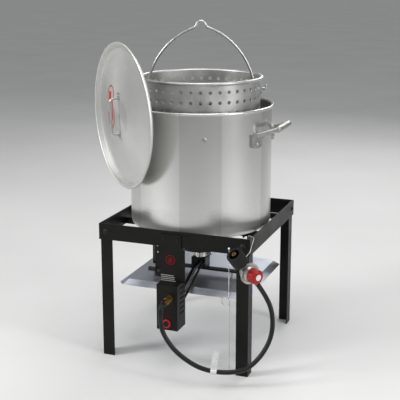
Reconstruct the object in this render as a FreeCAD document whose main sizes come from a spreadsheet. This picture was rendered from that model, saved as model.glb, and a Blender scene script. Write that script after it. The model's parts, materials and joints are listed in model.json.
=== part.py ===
import FreeCAD, Part
import math
import os
import re

import Sketcher

# An outdoor gas boiling and steaming kit, in millimetres. +Z is up, the control box faces -Y, and
# the origin is the middle of the stand's footprint on the ground. The pot stands on the support
# bars of a square steel stand, the perforated basket hangs in its steaming position on three rests
# in the pot, and the lid hangs upright on the pot's rim at the front left.

V = FreeCAD.Vector
UP = V(0, 0, 1)

SIZES = {
    # stand
    "stand_side": 485, "rail_tall": 50, "rail_thick": 4, "rail_top": 430,
    "leg_wide": 38, "leg_thick": 3, "leg_top": 428,
    "bolt_from_corner": 19, "bolt_level": 405, "bolt_radius": 4, "bolt_hole": 4.2,
    "bolt_head_radius": 9, "bolt_head_tall": 4.5, "nut_flats": 13, "nut_tall": 6.5,
    "support_tall": 20, "support_thick": 4, "support_top": 399.7, "support_pitch": 110,
    # heat shield
    "shield_left": 227, "shield_right": 205, "shield_front": -155, "shield_back": 235, "shield_corner": 20,
    "shield_edge_level": 207, "shield_rise": 15, "shield_flange": 20, "shield_sheet": 1,
    "standoff_radius": 5, "standoff_x": 110, "standoff_y": 12,
    # burner
    "strap_wide": 24, "strap_thick": 5, "strap_level": 238, "strap_half": 165,
    "cradle_wide": 48, "cradle_deep": 36, "cradle_sheet": 3, "cradle_tall": 37,
    "burner_bottom": 280, "burner_throat": 19, "burner_neck_tall": 20, "burner_radius": 74,
    "burner_head_tall": 16, "burner_crown_radius": 30, "burner_crown_tall": 14,
    "port_radius": 2, "port_ring": 60, "port_count": 24, "port_deep": 8,
    "shutter_radius": 22, "shutter_wall": 1.5, "shutter_tall": 14, "shutter_gap": 0.05,
    "gas_tube_radius": 5, "sensor_tube_radius": 3, "lead_radius": 3.5,
    # control box
    "box_left": -37, "box_right": 30, "box_front": -278, "box_step": -245.5, "box_rear": -214.5,
    "box_bottom": 130, "box_shoulder": 270, "box_neck": 272.5, "box_top": 376, "plate_top": 420,
    "box_flange": 11.5, "box_sheet": 2, "slot_low": 177, "slot_pitch": 15.7, "slot_count": 6, "slot_tall": 4,
    "slot_front": -258, "slot_rear": -228,
    "socket_x": 7, "socket_level": 233, "socket_radius": 8.5, "socket_reach": 34,
    "sleeve_radius": 10.5, "sleeve_long": 15, "sleeve_start": 13, "sleeve_gap": 0.05,
    "plug_long": 20, "elbow_radius": 8, "elbow_turn": 20, "elbow_drop": 24,
    "button_x": -5, "button_level": 151, "bezel_inner": 9, "bezel_outer": 13, "bezel_proud": 4,
    "button_radius": 8.9, "button_proud": 7, "button_travel": 4,
    # pot
    "pot_radius": 222, "pot_wall": 2.5, "pot_floor": 3, "pot_level": 400, "pot_tall": 382.5,
    "pot_corner": 18, "pot_bead": 4.5, "pot_bead_ring": 225,
    "handle_x": 268, "handle_level": 722, "handle_half": 56, "grip_radius": 9.5,
    "foot_y": 82, "foot_level": 690, "foot_wide": 46, "foot_tall": 46, "foot_thick": 6,
    "arm_radius": 7, "pot_rivet_head": 6, "pot_rivet_shank": 3,
    "rest_bearing": 23.2, "rest_level": 704, "rest_radius": 5, "rest_tip": 199,
    # basket
    "basket_radius": 185, "basket_wall": 1.6, "basket_floor": 2, "basket_level": 567,
    "basket_tall": 300, "basket_corner": 12, "basket_bead": 5, "basket_bead_ring": 189,
    "hole_radius": 5.5, "hole_row": 31, "hole_rows": 9, "holes_round": 40, "floor_pitch": 28,
    "lug_wide": 24, "lug_tip": 211, "lug_sheet": 3, "lug_tall": 32,
    "bail_bearing": 20.6, "bail_level": 826, "bail_wire": 4, "bail_arch": 225,
    "bail_offset": 57, "bail_centre": 802.7, "bail_foot": 842, "bail_notch": 13, "bail_slope": 32,
    "bail_rise": 11, "bail_fillet": 10, "bail_end": 203, "bail_tip": 12,
    "ear_wide": 36, "ear_tall": 30, "ear_thick": 2.5,
    # lid
    "lid_bearing": 227.6, "lid_lean": 1.4, "lid_reach": 269, "lid_level": 758,
    "lid_radius": 221, "lid_sheet": 1.8, "lid_flange": 211, "lid_step": 207, "lid_drop": 11,
    "lid_roll": 1.6,
    "lid_crown": 7, "lid_grip_half": 54, "lid_grip_stand": 32, "lid_wire": 4,
    "lid_foot_long": 22, "lid_foot_wide": 16, "lid_foot_thick": 2.5,
    "hanger_wide": 20, "hanger_sheet": 2.5,
    # regulator and hose
    "hose_radius": 7, "regulator_radius": 31, "knob_radius": 23, "nut_radius": 24,
    "nipple_radius": 7, "nut_near": 46.5, "nut_far": 86, "port_half": 36, "port_offset": 4,
    "chain_radius": 1.6, "rod_radius": 1.2, "wire_radius": 1,
}

doc = FreeCAD.newDocument("boiling_kit")
sheet = doc.addObject("Spreadsheet::Sheet", "Dims")
for row, (alias, number) in enumerate(SIZES.items(), start=1):
    sheet.set(f"A{row}", alias)
    sheet.set(f"B{row}", str(number))
    sheet.setAlias(f"B{row}", alias)
doc.recompute()


def dim(alias):
    """A driving dimension, as the sheet holds it."""
    return float(getattr(sheet, alias))


def formula(text):
    """The sheet's form of a formula in which a driving dimension is written by its name."""
    return re.sub(r"[a-z]+(?:_[a-z]+)*", lambda word: "Dims." + word[0]
                  if word[0] in SIZES else word[0], text)


def total(text):
    """The value of a sum of names and numbers, such as "pot_radius - pot_wall"."""
    value, sign = 0.0, 1
    for word in text.split():
        if word in "+-":
            sign = 1 if word == "+" else -1
        elif word.lstrip("-") in SIZES:
            value += sign * (-1 if word[0] == "-" else 1) * dim(word.lstrip("-"))
        else:
            value += sign * float(word)
    return value


def bind(thing, **formulas):
    for name, text in formulas.items():
        thing.setExpression(name, formula(text))
    return thing


def place(thing, base=("0", "0", "0"), axis=None, angle="0"):
    """Bind an object's Placement: where its origin goes, and its turn about an axis."""
    if axis is not None:
        thing.Placement = FreeCAD.Placement(V(0, 0, 0), FreeCAD.Rotation(V(*axis), 1))
        thing.setExpression("Placement.Rotation.Angle", formula(angle))
    for letter, text in zip("xyz", base):
        thing.setExpression("Placement.Base." + letter, formula(text))
    return thing


def box(name, long, deep, tall, base=("0", "0", "0"), axis=None, angle="0"):
    thing = doc.addObject("Part::Box", name)
    return place(bind(thing, Length=long, Width=deep, Height=tall), base, axis, angle)


def rod(name, radius, tall, base=("0", "0", "0"), axis=None, angle="0"):
    thing = doc.addObject("Part::Cylinder", name)
    return place(bind(thing, Radius=radius, Height=tall), base, axis, angle)


def fuse(name, things):
    thing = doc.addObject("Part::MultiFuse", name)
    thing.Shapes = things
    thing.Refine = True
    return thing


def cut(name, base, tool):
    thing = doc.addObject("Part::Cut", name)
    thing.Base, thing.Tool = base, tool
    return thing


def group(name, things):
    """Separate solids in one node, such as a set of like fasteners."""
    thing = doc.addObject("Part::Compound", name)
    thing.Links = things
    return thing


def made(name, shape, placement=None):
    """A sub-part whose shape is made directly, from sizes read from the sheet."""
    thing = doc.addObject("Part::Feature", name)
    thing.Shape = shape
    if placement is not None:
        thing.Placement = placement
    return thing


def fitted(name, part, tools):
    """The part with the room its neighbours take cut out of it, less any loose crumb."""
    shape = part.Shape.cut([tool.Shape for tool in tools])
    solids = [solid for solid in shape.Solids if solid.Volume > 0.01 * shape.Volume]
    return made(name, solids[0] if len(solids) == 1 else Part.makeCompound(solids))


def outline(body, plane, corners):
    """A closed sketch on one of the body's own planes, each corner tied to the sheet."""
    sketch = body.newObject("Sketcher::SketchObject", body.Name + "_outline")
    origin = [o for o in body.Origin.OriginFeatures if o.Role == plane][0]
    sketch.AttachmentSupport = (origin, [""])
    sketch.MapMode = "FlatFace"
    points = [V(total(x), total(y), 0) for x, y in corners]
    count = len(points)
    for i in range(count):
        sketch.addGeometry(Part.LineSegment(points[i], points[(i + 1) % count]), False)
    for i in range(count):
        sketch.addConstraint(Sketcher.Constraint("Coincident", i, 2, (i + 1) % count, 1))
    for i, corner in enumerate(corners):
        for kind, axis, text in (("DistanceX", -2, corner[0]), ("DistanceY", -1, corner[1])):
            if text == "0":
                sketch.addConstraint(Sketcher.Constraint("PointOnObject", i, 1, axis))
            else:
                index = sketch.addConstraint(
                    Sketcher.Constraint(kind, -1, 1, i, 1, total(text)))
                sketch.setExpression(f"Constraints[{index}]", formula(text))
    return sketch


def turned(name, corners):
    """A body turned about its own Z axis from an outline of (radius, height) corners."""
    body = doc.addObject("PartDesign::Body", name)
    sketch = outline(body, "XZ_Plane", corners)
    feature = body.newObject("PartDesign::Revolution", name + "_turn")
    feature.Profile = sketch
    feature.ReferenceAxis = (sketch, ["V_Axis"])
    feature.Angle = 360
    return body


def path(points, radii):
    """Straight runs through the points, joined by tangent arcs of the given radii."""
    edges, start = [], points[0]
    for before, corner, after, radius in zip(points, points[1:], points[2:], radii):
        arriving, leaving = (corner - before).normalize(), (after - corner).normalize()
        half = arriving.getAngle(leaving) / 2
        back = radius * math.tan(half)
        first, last = corner - arriving * back, corner + leaving * back
        inward = (leaving - arriving).normalize()
        middle = corner + inward * (radius / math.cos(half) - radius)
        if (first - start).Length > 1e-4:
            edges.append(Part.LineSegment(start, first).toShape())
        edges.append(Part.Arc(first, middle, last).toShape())
        start = last
    if (points[-1] - start).Length > 1e-4:
        edges.append(Part.LineSegment(start, points[-1]).toShape())
    return Part.Wire(edges)


def tube(wire, radius):
    """A round bar along a wire."""
    first = wire.OrderedEdges[0]
    ring = Part.makeCircle(radius, first.firstVertex().Point if first.Orientation == "Forward"
                           else first.lastVertex().Point, first.tangentAt(first.FirstParameter))
    return wire.makePipeShell([Part.Wire(ring)], True, True)


def bar(start, end, radius, end_radius=None):
    """A round bar, or a cone, from one point to another."""
    along = end - start
    if end_radius is None or abs(end_radius - radius) < 1e-6:
        return Part.makeCylinder(radius, along.Length, start, along)
    return Part.makeCone(radius, end_radius, along.Length, start, along)


def hexagon(flats, tall, start, along):
    """A hexagonal bar, of the given size across its flats."""
    corner = flats / math.sqrt(3)
    ring = [V(corner * math.cos(math.radians(60 * i)), corner * math.sin(math.radians(60 * i)), 0)
            for i in range(6)]
    solid = Part.Face(Part.makePolygon(ring + ring[:1])).extrude(V(0, 0, tall))
    solid.Placement = FreeCAD.Placement(start, FreeCAD.Rotation(UP, along))
    return solid


def rivet(base, out, inner, outer, shank, head):
    """A rivet along a direction: a domed head outside one face, a flat tail inside the other."""
    tall = 0.45 * head
    ball = (head ** 2 + tall ** 2) / (2 * tall)
    dome = Part.makeSphere(ball, base + out * (outer + tall - ball)).common(
        bar(base + out * (outer - 0.4), base + out * (outer + 2 * tall), head))
    dome = dome.cut(bar(base + out * (outer - 2), base + out * (outer), head + 1))
    tail = bar(base + out * (inner - 1), base + out * inner, 0.75 * head)
    whole = bar(base + out * inner, base + out * outer, shank)
    return whole.fuse(dome).fuse(tail).removeSplitter()


def bearing(degrees, radius=1.0, level=0.0):
    """A point at a compass bearing about the pot's axis: 0 is the front (-Y), 90 is +X."""
    turn = math.radians(degrees)
    return V(radius * math.sin(turn), -radius * math.cos(turn), level)


# ---------------------------------------------------------------- stand
def stand_rails():
    side, inner = "stand_side", "stand_side - 2 * rail_thick"
    level = "rail_top - rail_tall"
    holes = []
    for sx in (-1, 1):
        for sy in (-1, 1):
            spot = f"{sx} * (stand_side / 2 - rail_thick - bolt_from_corner)"
            deep = f"{sy} * (stand_side / 2 - rail_thick - bolt_from_corner)"
            holes.append(rod("front_rear_hole", "bolt_hole", "30",
                             (spot, f"{sy} * stand_side / 2 + 15", "bolt_level"), (1, 0, 0), "90"))
            holes.append(rod("side_hole", "bolt_hole", "30",
                             (f"{sx} * stand_side / 2 - 15", deep, "bolt_level"),
                             (0, 1, 0), "90"))
    holes = group("stand_bolt_holes", holes)
    blanks = {
        "front_rail": (side, "rail_thick", "-stand_side / 2", "-stand_side / 2"),
        "rear_rail": (side, "rail_thick", "-stand_side / 2", "stand_side / 2 - rail_thick"),
        "left_rail": ("rail_thick", inner, "-stand_side / 2", "-stand_side / 2 + rail_thick"),
        "right_rail": ("rail_thick", inner, "stand_side / 2 - rail_thick",
                       "-stand_side / 2 + rail_thick"),
    }
    rails = {}
    for name, (long, deep, x, y) in blanks.items():
        blank = box(name + "_blank", long, deep, "rail_tall", (x, y, level))
        rails[name] = cut(name, blank, holes)
    return rails, holes


def stand_legs(holes):
    legs = {}
    reach = "stand_side / 2 - rail_thick"
    for sx, sy, name in ((-1, -1, "front_left"), (1, -1, "front_right"),
                         (-1, 1, "rear_left"), (1, 1, "rear_right")):
        wide = {"x": ("leg_wide", "leg_thick"), "y": ("leg_thick", "leg_wide")}
        flanges = []
        for long, deep in wide.values():
            x = f"-({reach})" if sx < 0 else f"{reach} - {long}"
            y = f"-({reach})" if sy < 0 else f"{reach} - {deep}"
            flanges.append(box("leg_flange", long, deep, "leg_top", (x, y, "0")))
        legs["leg_" + name] = cut("leg_" + name, fuse("leg_angle", flanges), holes)
    return legs


def stand_bolts():
    """Carriage bolts from outside through each rail and leg flange, and their nuts inside."""
    bolts = []
    half = dim("stand_side") / 2
    spot = half - dim("rail_thick") - dim("bolt_from_corner")
    grip = dim("rail_thick") + dim("leg_thick")
    for sx in (-1, 1):
        for sy in (-1, 1):
            for outward, centre in ((V(0, sy, 0), V(sx * spot, sy * half, dim("bolt_level"))),
                                    (V(sx, 0, 0), V(sx * half, sy * spot, dim("bolt_level")))):
                tall, wide = dim("bolt_head_tall"), dim("bolt_head_radius")
                ball = (wide ** 2 + tall ** 2) / (2 * tall)
                head = Part.makeSphere(ball, centre + outward * (tall - ball)).common(
                    Part.makeCylinder(wide, tall, centre, outward))
                inside = centre - outward * grip
                end = inside - outward * (dim("nut_tall") + 3)
                bolts.append(head.fuse(bar(centre, end, dim("bolt_radius"))).removeSplitter())
                nut = hexagon(dim("nut_flats"), dim("nut_tall"), inside, outward * -1)
                bolts.append(nut.cut(bar(centre, end, dim("bolt_radius"))))
    return {"leg_bolts": made("leg_bolts", Part.makeCompound(bolts))}


def pot_supports():
    """Four flat bars on edge, from the left rail to the right one, that carry the pot."""
    bars = [box("pot_support", "stand_side - 2 * rail_thick", "support_thick", "support_tall",
                ("-stand_side / 2 + rail_thick",
                 f"({i} - 1.5) * support_pitch - support_thick / 2",
                 "support_top - support_tall")) for i in range(4)]
    return {"pot_supports": group("pot_supports", bars)}


# ---------------------------------------------------------------- heat shield and burner
def heat_shield():
    """A sheet tray with four sloping sides and clipped corners, open underneath."""
    front, back = dim("shield_front"), dim("shield_back")
    clip, flange, thick = dim("shield_corner"), dim("shield_flange"), dim("shield_sheet")
    low, top = dim("shield_edge_level"), dim("shield_edge_level") + dim("shield_rise")

    def ring(inset, level):
        left, right = inset - dim("shield_left"), dim("shield_right") - inset
        near, far = front + inset, back - inset
        c = clip - 0.4 * inset
        corners = [V(left + c, near, level), V(right - c, near, level), V(right, near + c, level),
                   V(right, far - c, level), V(right - c, far, level), V(left + c, far, level),
                   V(left, far - c, level), V(left, near + c, level)]
        return Part.makePolygon(corners + corners[:1])

    outer = Part.makeLoft([ring(0, low), ring(flange, top)], True, True)
    inner = Part.makeLoft([ring(thick * 1.3, low - thick), ring(flange + thick * 0.6, top - thick)],
                          True, True)
    shell = outer.cut(inner)
    holes = [Part.makeCylinder(2.2, 20, V(sx * dim("standoff_x"), 0, top - 10)) for sx in (-1, 1)]
    shell = shell.cut(Part.makeCompound(holes))
    posts = []
    for sx in (-1, 1):
        foot = V(sx * dim("standoff_x"), 0, top)
        post = Part.makeCylinder(dim("standoff_radius"), dim("strap_level") - top, foot)
        shank = Part.makeCylinder(2, dim("strap_level") - top + thick, foot - UP * thick)
        posts.append(post.cut(shank))
        head = Part.makeCylinder(4.5, 2.2, foot - UP * (thick + 2.2))
        posts.append(head.fuse(shank).removeSplitter())
    return {"heat_shield": made("heat_shield", shell),
            "shield_standoffs": made("shield_standoffs", Part.makeCompound(posts))}


def burner_strap():
    """A flat steel strap bent up at both ends, hung from the two middle support bars."""
    half, thick, wide = dim("strap_half"), dim("strap_thick"), dim("strap_wide")
    low, high = dim("strap_level"), dim("support_top") - dim("support_tall")
    runs = [(V(-half, -wide / 2, low), 2 * half, wide, thick)]
    for sx in (-1, 1):
        x = -half if sx < 0 else half - thick
        runs.append((V(x, -wide / 2, low + thick), thick, wide, high - low - thick))
        reach = dim("support_pitch") / 2 + dim("support_thick")
        runs.append((V(x, -reach, high - thick), thick, 2 * reach, thick))
    solid = Part.makeBox(runs[0][1], runs[0][2], runs[0][3], runs[0][0])
    for corner, long, deep, tall in runs[1:]:
        solid = solid.fuse(Part.makeBox(long, deep, tall, corner))
    return {"burner_strap": made("burner_strap", solid.removeSplitter())}


def burner_cradle():
    """A channel of sheet steel on the strap that carries the burner's throat."""
    wide, deep, tall = dim("cradle_wide"), dim("cradle_deep"), dim("cradle_tall")
    thick, low = dim("cradle_sheet"), dim("strap_level") + dim("strap_thick")
    block = Part.makeBox(wide, deep, tall, V(-wide / 2, -deep / 2, low))
    space = Part.makeBox(wide - 2 * thick, deep + 2, tall - 2 * thick,
                         V(-wide / 2 + thick, -deep / 2 - 1, low + thick))
    plate = Part.makeBox(wide, 6, tall, V(-wide / 2, -deep / 2 - 6, low))
    return {"burner_cradle": made("burner_cradle", block.cut(space).fuse(plate).removeSplitter())}


def burner():
    """The cast burner head on its throat, with a ring of gas ports, and the air shutter."""
    low, throat = dim("burner_bottom"), dim("burner_throat")
    neck, head = dim("burner_neck_tall"), dim("burner_head_tall")
    solid = Part.makeCylinder(throat, neck, V(0, 0, low))
    solid = solid.fuse(Part.makeCone(throat, dim("burner_radius"), 14, V(0, 0, low + neck)))
    top = low + neck + 14
    solid = solid.fuse(Part.makeCylinder(dim("burner_radius"), head, V(0, 0, top)))
    crown = Part.makeCylinder(dim("burner_crown_radius"), dim("burner_crown_tall"),
                              V(0, 0, top + head))
    solid = solid.fuse(crown).removeSplitter()
    ports = []
    for i in range(int(dim("port_count"))):
        spot = bearing(360 * i / dim("port_count"), dim("port_ring"),
                       top + head - dim("port_deep"))
        ports.append(Part.makeCylinder(dim("port_radius"), dim("port_deep") + 1, spot))
    solid = solid.cut(Part.makeCompound(ports))
    window = Part.makeBox(2 * throat + 4, 12, 8, V(-throat - 2, -6, low + 6))
    bore = Part.makeCylinder(throat - 5, neck - 6, V(0, 0, low))
    solid = solid.cut(window).cut(bore)
    inner = throat + dim("shutter_gap")
    shutter = Part.makeCylinder(inner + dim("shutter_wall") + 1.5, dim("shutter_tall"),
                                V(0, 0, low + 2))
    shutter = shutter.cut(Part.makeCylinder(inner, dim("shutter_tall"), V(0, 0, low + 2)))
    shutter = shutter.cut(Part.makeBox(2 * throat + 20, 12, 8, V(-throat - 10, -6, low + 6)))
    tab = Part.makeBox(14, 3, dim("shutter_tall"), V(inner, 7.5, low + 2))
    return {"burner": made("burner", solid),
            "air_shutter": made("air_shutter", shutter.fuse(tab).removeSplitter())}


def burner_lines():
    """The gas tube, flame sensor tube and igniter lead, from the box's back to the burner."""
    back = dim("box_rear")
    routes = {
        "gas_tube": (0, dim("gas_tube_radius"), 205),
        "flame_sensor_tube": (10, dim("sensor_tube_radius"), 211),
        "igniter_lead": (20, dim("lead_radius"), 206),
    }
    parts = {}
    cradle = -dim("cradle_deep") / 2
    for name, (x, radius, level) in routes.items():
        points = [V(x, back, level), V(x, back + 26, level + 3), V(x, -62, 262),
                  V(x, cradle - 6, 268)]
        shape = tube(path(points, [40, 40]), radius)
        parts[name] = made(name, shape)
    return parts


# ---------------------------------------------------------------- control box
def profile(corners):
    """The closed side outline of a box part: (y, z) corners in the X = 0 plane."""
    return Part.makePolygon([V(0, y, z) for y, z in corners + corners[:1]])


def control_box():
    front, step, rear = dim("box_front"), dim("box_step"), dim("box_rear")
    low, shoulder, neck = dim("box_bottom"), dim("box_shoulder"), dim("box_neck")
    top, left, right = dim("box_top"), dim("box_left"), dim("box_right")
    thick = dim("box_sheet")
    wide = right - left
    face = [(front + thick, low), (front + thick, shoulder), (step + thick, neck),
            (step + thick, top), (rear, top), (rear, low)]
    shell = Part.Face(profile(face)).extrude(V(wide, 0, 0))
    hollow = [(front, low + thick), (front, shoulder), (step, neck), (step, top - thick),
              (rear - thick, top - thick), (rear - thick, low + thick)]
    space = Part.Face(profile(hollow)).extrude(V(wide - 2 * thick, 0, 0))
    space.translate(V(thick, 0, 0))
    shell = shell.cut(space)
    shell.translate(V(left, 0, 0))
    slots = []
    for i in range(int(dim("slot_count"))):
        level = dim("slot_low") + i * dim("slot_pitch")
        slots.append(Part.makeBox(wide + 20, dim("slot_rear") - dim("slot_front"),
                                  dim("slot_tall"), V(left - 10, dim("slot_front"), level)))
    shell = shell.cut(Part.makeCompound(slots))

    skin = [(front, low), (front, shoulder + 1), (step, neck + 1), (step, dim("plate_top")),
            (step + thick, dim("plate_top")), (step + thick, neck), (front + thick, shoulder),
            (front + thick, low)]
    cover = Part.Face(profile(skin)).extrude(V(wide, 0, 0))
    cover.translate(V(left, 0, 0))
    cover = cover.fuse(Part.makeBox(dim("box_flange") + 1, thick, top - neck - 1,
                                    V(right - 1, step, neck + 1))).removeSplitter()
    socket = V(dim("socket_x"), front, dim("socket_level"))
    button = V(dim("button_x"), front, dim("button_level"))
    cover = cover.cut(Part.makeCylinder(dim("socket_radius"), 30, socket - V(0, 10, 0), V(0, 1, 0)))
    cover = cover.cut(Part.makeCylinder(dim("bezel_inner") + 1, 30, button - V(0, 10, 0),
                                        V(0, 1, 0)))
    screws = []
    for x in (left + 12, right - 12):
        spot = V(x, step, 404)
        cover = cover.cut(bar(spot - V(0, 5, 0), spot + V(0, 10, 0), 2.1))
        head = bar(spot - V(0, 2, 0), spot, 4.2, 4.2)
        screws.append(head.fuse(bar(spot, spot + V(0, thick + 1, 0), 2)).removeSplitter())
    bracket = Part.makeBox(wide + 19, 2, 95, V(left - 19, -242, 283))
    bracket = bracket.cut(Part.makeBox(wide, 10, 110, V(left, -246, 275)))
    for level in (300, 330, 360):
        bracket = bracket.cut(bar(V(left - 9, -250, level), V(left - 9, -230, level), 3))
    thumb = bar(V(left - 16, -244.5, 306), V(left, -244.5, 306), 2.5)
    thumb = thumb.fuse(bar(V(left - 38, -244.5, 306), V(left - 16, -244.5, 306), 7, 6))
    return {"control_box_housing": made("control_box_housing", shell),
            "control_box_cover": made("control_box_cover", cover),
            "cover_screws": made("cover_screws", Part.makeCompound(screws)),
            "control_box_bracket": made("control_box_bracket", bracket),
            "box_thumb_screw": made("box_thumb_screw", thumb.removeSplitter())}


def gas_inlet():
    """The quick-connect socket, its sliding sleeve, and the hose's plug and elbow."""
    front = dim("box_front")
    axis, centre = V(0, -1, 0), V(dim("socket_x"), front, dim("socket_level"))
    radius = dim("socket_radius")
    body = bar(centre - axis * 22, centre + axis * dim("socket_reach"), radius)
    collar = hexagon(20, 7, centre, axis)
    bore = bar(centre + axis * 10, centre + axis * 40, 5)
    socket = body.fuse(collar).cut(bore).removeSplitter()
    start = centre + axis * dim("sleeve_start")
    sleeve = bar(start, start + axis * dim("sleeve_long"), dim("sleeve_radius"))
    sleeve = sleeve.cut(bar(start - axis, start + axis * 30, radius + dim("sleeve_gap")))
    face = centre + axis * dim("socket_reach")
    nose = bar(face - axis * 14, face, 5)
    plug = nose.fuse(hexagon(17, dim("plug_long"), face, axis)).removeSplitter()
    turn, thick = dim("elbow_turn"), dim("elbow_radius")
    first = face + axis * dim("plug_long")
    corner = first + axis * turn
    end = corner - UP * dim("elbow_drop")
    elbow = tube(path([first, corner, end], [turn - 2]), thick)
    return {"quick_connect_socket": made("quick_connect_socket", socket),
            "quick_connect_sleeve": made("quick_connect_sleeve", sleeve),
            "hose_plug": made("hose_plug", plug),
            "hose_elbow": made("hose_elbow", elbow)}, end


def igniter_button():
    front = dim("box_front")
    centre = V(dim("button_x"), front, dim("button_level"))
    out = V(0, -1, 0)
    bezel = bar(centre, centre + out * dim("bezel_proud"), dim("bezel_outer"))
    barrel = bar(centre - out * 16, centre, dim("bezel_inner") + 1)
    bezel = bezel.fuse(barrel)
    bezel = bezel.cut(bar(centre - out * 20, centre + out * 10, dim("bezel_inner")))
    button = bar(centre - out * 8, centre + out * dim("button_proud"), dim("button_radius"))
    floor = dim("box_bottom") + dim("box_sheet")
    module = Part.makeBox(40, 22, 40, V(dim("button_x") - 20, front + 25, floor))
    valve = Part.makeBox(30, 20, 34, V(dim("socket_x") - 15, front + 22, 216))
    return {"igniter_bezel": made("igniter_bezel", bezel.removeSplitter()),
            "igniter_button": made("igniter_button", button),
            "igniter_module": made("igniter_module", module),
            "gas_valve": made("gas_valve", valve)}


# ---------------------------------------------------------------- pot
def pot():
    """The pot: a drawn wall and floor with a rolled bead, and three holes for its basket rests."""
    outer = rod("pot_outer", "pot_radius", "pot_tall - pot_bead", ("0", "0", "pot_level"))
    inner = rod("pot_inner", "pot_radius - pot_wall", "pot_tall", ("0", "0", "pot_level + pot_floor"))
    doc.recompute()
    rounded = []
    for blank, radius in ((outer, dim("pot_corner")), (inner, dim("pot_corner") - dim("pot_wall"))):
        fillet = doc.addObject("Part::Fillet", blank.Name + "_rounded")
        fillet.Base = blank
        low = min(range(len(blank.Shape.Edges)),
                  key=lambda i: blank.Shape.Edges[i].CenterOfMass.z)
        fillet.Edges = [(low + 1, radius, radius)]
        rounded.append(fillet)
    shell = cut("pot_shell_blank", rounded[0], rounded[1])
    bead = place(bind(doc.addObject("Part::Torus", "pot_bead_ring_solid"),
                      Radius1="pot_bead_ring", Radius2="pot_bead"),
                 ("0", "0", "pot_level + pot_tall - pot_bead"))
    whole = fuse("pot_with_bead", [shell, bead])
    holes = []
    for i in range(3):
        hole = doc.addObject("Part::Cylinder", "rest_hole")
        bind(hole, Radius="rest_radius", Height="60")
        turn = dim("rest_bearing") + 120 * i
        hole.Placement = FreeCAD.Placement(bearing(turn, 190, dim("rest_level")),
                                           FreeCAD.Rotation(UP, bearing(turn)))
        holes.append(hole)
    return {"pot": cut("pot", whole, group("rest_holes", holes))}


def basket_rests():
    """Three studs through the pot's wall, headed outside, that the basket's lugs rest on."""
    studs = []
    for i in range(3):
        out = bearing(dim("rest_bearing") + 120 * i)
        base = V(0, 0, dim("rest_level"))
        wall = dim("pot_radius")
        stud = bar(base + out * dim("rest_tip"), base + out * (wall + 0.5), dim("rest_radius"))
        head = Part.makeSphere(10, base + out * (wall - 6.8)).common(
            bar(base + out * wall, base + out * (wall + 5), 7))
        washer = bar(base + out * (wall - 5.5), base + out * (wall - 3.2), 8)
        stud = stud.fuse(head).fuse(washer)
        studs.append(stud.removeSplitter())
    return {"basket_rest_studs": made("basket_rest_studs", Part.makeCompound(studs))}


def pot_handles():
    """Cast loop handles: two feet on the wall, two rising arms with a web, and a round grip."""
    wall = Part.makeCylinder(dim("pot_radius"), 200, V(0, 0, 600))
    handles, rivets = {}, []
    for side, name in ((-1, "pot_handle_left"), (1, "pot_handle_right")):
        solid = None
        for sy in (-1, 1):
            turn = math.asin(dim("foot_y") / dim("pot_radius"))
            wide, tall = dim("foot_wide"), dim("foot_tall")
            foot = Part.makeBox(dim("foot_thick") + 12, wide, tall,
                                V(dim("pot_radius") - 12, -wide / 2, dim("foot_level") - tall / 2))
            foot = foot.makeFillet(10, [e for e in foot.Edges if e.Length > dim("foot_thick") + 11.9
                                        and e.Length < dim("foot_thick") + 12.1])
            foot.rotate(V(0, 0, 0), UP, sy * math.degrees(turn))
            root = V(dim("pot_radius") * math.cos(turn) - 2, sy * (dim("foot_y") - 3),
                     dim("foot_level") + 12)
            end = V(dim("handle_x"), sy * dim("handle_half"), dim("handle_level"))
            arm = bar(root, end, dim("arm_radius") + 1.5, dim("arm_radius"))
            low = V(root.x, root.y, dim("foot_level") - 18)
            outer = root + (end - root) * 0.62
            web = Part.Face(Part.makePolygon([low, root, outer, low])).extrude(V(0, 8, 0))
            web.translate(V(0, -4, 0))
            for shape in (foot, arm, web, Part.makeSphere(dim("grip_radius"), end)):
                solid = shape if solid is None else solid.fuse(shape)
            out = V(math.cos(turn), sy * math.sin(turn), 0)
            for dz in (-12,):
                base = V(0, 0, dim("foot_level") + dz)
                head = Part.makeSphere(8, base + out * (dim("pot_radius") + 2)).common(
                    bar(base + out * (dim("pot_radius") + dim("foot_thick")),
                        base + out * (dim("pot_radius") + 20), dim("pot_rivet_head")))
                shank = bar(base + out * (dim("pot_radius") - 4.5),
                            base + out * (dim("pot_radius") + dim("foot_thick") + 0.5),
                            dim("pot_rivet_shank"))
                tail = bar(base + out * (dim("pot_radius") - 5.5),
                           base + out * (dim("pot_radius") - 3.1), 5)
                rivets.append((side, head.fuse(shank).fuse(tail)))
        grip = bar(V(dim("handle_x"), -dim("handle_half"), dim("handle_level")),
                   V(dim("handle_x"), dim("handle_half"), dim("handle_level")),
                   dim("grip_radius"))
        solid = solid.fuse(grip).cut(wall).removeSplitter()
        if side < 0:
            solid.rotate(V(0, 0, 0), UP, 180)
        handles[name] = solid
    heads = []
    for side, rivet in rivets:
        if side < 0:
            rivet.rotate(V(0, 0, 0), UP, 180)
        heads.append(rivet.removeSplitter())
    heads = Part.makeCompound(heads)
    parts = {name: made(name, solid.cut(heads)) for name, solid in handles.items()}
    parts["pot_handle_rivets"] = made("pot_handle_rivets", heads)
    return parts


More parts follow.
